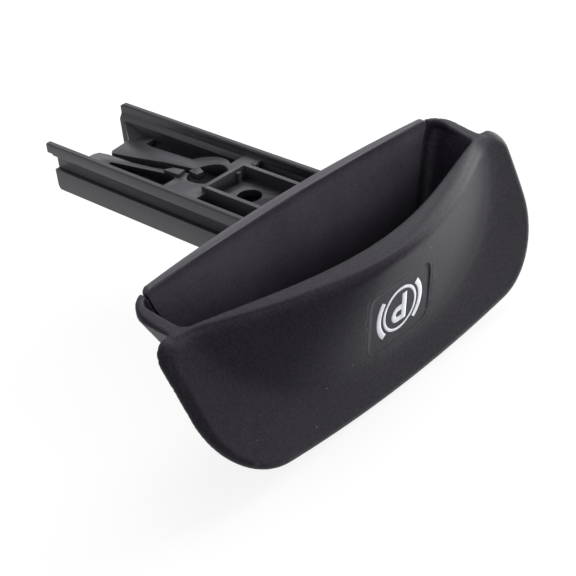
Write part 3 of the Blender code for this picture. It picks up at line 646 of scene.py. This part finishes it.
def add(tree, kind, **values):
    """A node with its socket values set."""
    node = tree.nodes.new(kind)
    for key, value in values.items():
        if key in node.inputs:
            node.inputs[key].default_value = value
        else:
            setattr(node, key, value)
    return node


def ranged(tree, source, from_min, from_max, to_min, to_max):
    """A value mapped from one range to another."""
    node = add(tree, "ShaderNodeMapRange")
    node.inputs["From Min"].default_value = from_min
    node.inputs["From Max"].default_value = from_max
    node.inputs["To Min"].default_value = to_min
    node.inputs["To Max"].default_value = to_max
    tree.links.new(source, node.inputs["Value"])
    return node.outputs["Result"]


def multiplied(tree, colour, factor):
    """A colour dimmed or lit by a factor."""
    node = add(tree, "ShaderNodeVectorMath", operation="SCALE")
    tree.links.new(colour, node.inputs[0])
    tree.links.new(factor, node.inputs["Scale"])
    return node.outputs["Vector"]


def overlaid(tree, colour, cover, tone):
    """A colour with a tone laid over it, as far as the cover says."""
    node = add(tree, "ShaderNodeMix", data_type="RGBA")
    node.inputs["B"].default_value = (*tone, 1.0)
    tree.links.new(cover, node.inputs["Factor"])
    tree.links.new(colour, node.inputs["A"])
    return node.outputs["Result"]


def combined(tree, operation, a, b):
    """Two values put together by a Math operation."""
    node = add(tree, "ShaderNodeMath", operation=operation)
    tree.links.new(a, node.inputs[0])
    tree.links.new(b, node.inputs[1])
    return node.outputs["Value"]


def noise(tree, place, scale, detail, roughness):
    """A noise that stays with the object."""
    node = add(tree, "ShaderNodeTexNoise", Scale=scale, Detail=detail, Roughness=roughness)
    tree.links.new(place, node.inputs["Vector"])
    return node.outputs["Fac"]


def two_tones(tree, source, dark, pale, start, end):
    """A colour that goes from a dark tone to a pale one."""
    ramp = add(tree, "ShaderNodeValToRGB")
    for element, position, tone in zip(ramp.color_ramp.elements, (start, end), (dark, pale)):
        element.position = position
        element.color = (*tone, 1.0)
    tree.links.new(source, ramp.inputs["Fac"])
    return ramp.outputs["Color"]


def recess_darkening(tree, kind, darkest):
    """Painted shade for recesses of a kind: one where plastic lies open, and down to the darkest share
    where it is shut in.
    """
    reach, shut, free = kind
    hidden = add(tree, "ShaderNodeAmbientOcclusion", samples=8)
    hidden.inputs["Distance"].default_value = reach * MM
    return ranged(tree, hidden.outputs["AO"], shut, free, darkest, 1.0)


def paler_plate(tree, place, paling):
    """One away from the back plate, and there about the paling factor, now more and now less in patches.
    """
    split = add(tree, "ShaderNodeSeparateXYZ")
    tree.links.new(place, split.inputs["Vector"])
    most = 1.0 + PALING_VARIES
    unevenness = noise(tree, place, PALING_SCALE, 3.0, 0.5)
    amount = ranged(tree, unevenness, 0.3, 0.7, 1.0 - PALING_VARIES, most)
    fades = (("Y", PALING_REAR, SHIFT.y), ("Z", PALING_HIGH, SHIFT.z), ("Z", PALING_LOW, SHIFT.z))
    for way, (start, end), moved in fades:
        here = ranged(tree, split.outputs[way], (start + moved) * MM, (end + moved) * MM, 1.0, 0.0)
        amount = combined(tree, "MULTIPLY", amount, here)
    return ranged(tree, amount, 0.0, most, 1.0, 1.0 + most * (paling - 1.0))


def worn_edges(tree, wear):
    """How far an edge is worn pale."""
    edges = add(tree, "ShaderNodeNewGeometry")
    return ranged(tree, edges.outputs["Pointiness"], 0.52, 0.62, 0.0, wear)


def dust_specks(tree, place):
    """A few specks of dust, in patches."""
    specks = add(tree, "ShaderNodeTexVoronoi", Scale=SPECK_SCALE)
    tree.links.new(place, specks.inputs["Vector"])
    dust = ranged(tree, specks.outputs["Distance"], 0.07, 0.05, 0.0, DUST_COVER)
    patches = ranged(tree, noise(tree, place, SPECK_PATCH_SCALE, 1.0, 0.5), 0.6, 0.64, 0.0, 1.0)
    return combined(tree, "MULTIPLY", dust, patches)


def moulded_plastic(name, dark, pale, roughness, specular, mottle, grain, depth, wear, shade_kinds, paling):
    """Moulded black plastic: grain, cloudy sheen, mottling, painted shade in recesses, a paler back plate
    where asked, worn edges and dust.
    """
    made, tree, shader = node_tree(name)
    place = add(tree, "ShaderNodeTexCoord").outputs["Object"]

    cloud = noise(tree, place, CLOUD_SCALE, 5.0, 0.6)
    colour = two_tones(tree, cloud, dark, pale, 0.3, 0.75)
    speckle = noise(tree, place, MOTTLE_SCALE, 2.0, 0.6)
    colour = multiplied(tree, colour, ranged(tree, speckle, 0.3, 0.7, 1.0 - mottle, 1.0 + mottle))
    # Painted shade: the base colour darkens in recesses, where shadow falls
    for kind, darkest in shade_kinds:
        unshaded_share = recess_darkening(tree, kind, darkest)
        colour = multiplied(tree, colour, unshaded_share)
    # The back plate's base colour is made paler, by up to the paling factor
    if paling > 1.0:
        colour = multiplied(tree, colour, paler_plate(tree, place, paling))
    colour = overlaid(tree, colour, worn_edges(tree, wear), WORN_TONE)
    colour = overlaid(tree, colour, dust_specks(tree, place), DUST_TONE)
    tree.links.new(colour, shader.inputs["Base Color"])

    sheen = ranged(tree, cloud, 0.0, 1.0, roughness - 0.05, roughness + 0.07)
    dull = add(tree, "ShaderNodeMix", data_type="FLOAT")
    dull.inputs["A"].default_value = 0.9
    tree.links.new(unshaded_share, dull.inputs["Factor"])
    tree.links.new(sheen, dull.inputs["B"])
    tree.links.new(dull.outputs["Result"], shader.inputs["Roughness"])
    shader.inputs["Specular IOR Level"].default_value = specular

    bump = add(tree, "ShaderNodeBump", Strength=0.6, Distance=depth)
    tree.links.new(noise(tree, place, grain, 3.0, 0.7), bump.inputs["Height"])
    tree.links.new(bump.outputs["Normal"], shader.inputs["Normal"])
    return made


def sign_ink():
    """Pale print, a little uneven where it lies on the grain."""
    made, tree, shader = node_tree("sign_print_pale")
    place = add(tree, "ShaderNodeTexCoord").outputs["Object"]
    patchy = noise(tree, place, PRINT_SCALE, 3.0, 0.6)
    tree.links.new(two_tones(tree, patchy, PRINT_DARK, PRINT_PALE, 0.3, 0.6), shader.inputs["Base Color"])
    shader.inputs["Roughness"].default_value = 0.6
    return made


def shown_white(tree, light, white):
    """Strength of a backdrop: its light, or its white to the camera, in reflections and through glass."""
    path = add(tree, "ShaderNodeLightPath")
    seen = combined(tree, "MAXIMUM", path.outputs["Is Camera Ray"], path.outputs["Is Glossy Ray"])
    seen = combined(tree, "MAXIMUM", seen, path.outputs["Is Transmission Ray"])
    return ranged(tree, seen, 0.0, 1.0, light, white)


def make_floor():
    """A floor just under the handle that looks white and casts no shadow, so the low lamp passes it."""
    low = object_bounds()[0].z
    mesh = bpy.data.meshes.new("floor")
    half = FLOOR_HALF
    corners = [(-half, -half, 0.0), (half, -half, 0.0), (half, half, 0.0), (-half, half, 0.0)]
    mesh.from_pydata(corners, [], [(0, 1, 2, 3)])
    floor = bpy.data.objects.new("floor", mesh)
    bpy.context.scene.collection.objects.link(floor)
    floor.location.z = low - FLOOR_GAP * MM
    floor.visible_shadow = False
    made, tree, shader = node_tree("floor_white")
    shader.inputs["Base Color"].default_value = (*FLOOR_TONE, 1.0)
    shader.inputs["Roughness"].default_value = 0.9
    shader.inputs["Emission Color"].default_value = (1.0, 1.0, 1.0, 1.0)
    tree.links.new(shown_white(tree, FLOOR_LIGHT, FLOOR_WHITE), shader.inputs["Emission Strength"])
    floor.data.materials.append(made)


def soft_light(name, azimuth, elevation, strength):
    """A broad soft light from far away. Azimuth counts from +X towards +Y."""
    lamp = bpy.data.lights.new(name, "SUN")
    lamp.angle = math.radians(LAMP_SPREAD)
    lamp.energy = strength
    body = bpy.data.objects.new(name, lamp)
    bpy.context.scene.collection.objects.link(body)
    around = math.radians(azimuth)
    up = math.radians(elevation)
    way = Vector((math.cos(around) * math.cos(up), math.sin(around) * math.cos(up), math.sin(up)))
    body.rotation_mode = "QUATERNION"
    body.rotation_quaternion = way.to_track_quat("Z", "Y")


def make_lights():
    """A white room with soft lamps, of which the strongest shines from the right and from below."""
    world = bpy.data.worlds.new("studio")
    world.use_nodes = True
    background = world.node_tree.nodes["Background"]
    background.inputs["Color"].default_value = (1.0, 1.0, 1.0, 1.0)
    strength = shown_white(world.node_tree, WORLD_LIGHT, WORLD_WHITE)
    world.node_tree.links.new(strength, background.inputs["Strength"])
    bpy.context.scene.world = world
    for name, (azimuth, elevation, energy) in LAMPS.items():
        soft_light(name, azimuth, elevation, energy)


def make_camera():
    """The camera fitted to the photograph."""
    data = bpy.data.cameras.new("camera")
    data.sensor_width = 36.0
    data.lens = CAMERA_LENS
    data.clip_start = 0.01
    camera = bpy.data.objects.new("camera", data)
    bpy.context.scene.collection.objects.link(camera)
    back = CAMERA_RIGHT.cross(CAMERA_UP)
    turn = Matrix((CAMERA_RIGHT, CAMERA_UP, back)).transposed()
    camera.matrix_world = Matrix.Translation((CAMERA_PLACE + SHIFT) * MM) @ turn.to_4x4()
    bpy.context.scene.camera = camera


grip_plastic = moulded_plastic(
    "grip_soft_black",
    dark=(0.015, 0.0127, 0.0192),
    pale=(0.0192, 0.0163, 0.0246),
    roughness=0.42,
    specular=0.1,
    mottle=0.45,
    grain=2600.0,
    depth=0.00006,
    wear=0.25,
    shade_kinds=[(NARROW_RECESS_SHADE, 0.85)],
    paling=1.0,
)
shank_plastic = moulded_plastic(
    "shank_black",
    dark=(0.0265, 0.0236, 0.0308),
    pale=(0.0345, 0.0307, 0.04),
    roughness=0.36,
    specular=0.22,
    mottle=0.15,
    grain=900.0,
    depth=0.00004,
    wear=0.45,
    shade_kinds=[(DEEP_RECESS_SHADE, 0.05), (NARROW_RECESS_SHADE, 0.08)],
    paling=3.1,
)

make_grip(grip_plastic)
make_panel(grip_plastic)
make_print(sign_ink())
make_shank(shank_plastic)
make_floor()
make_lights()
make_camera()

bpy.context.scene.view_settings.view_transform = "Standard"
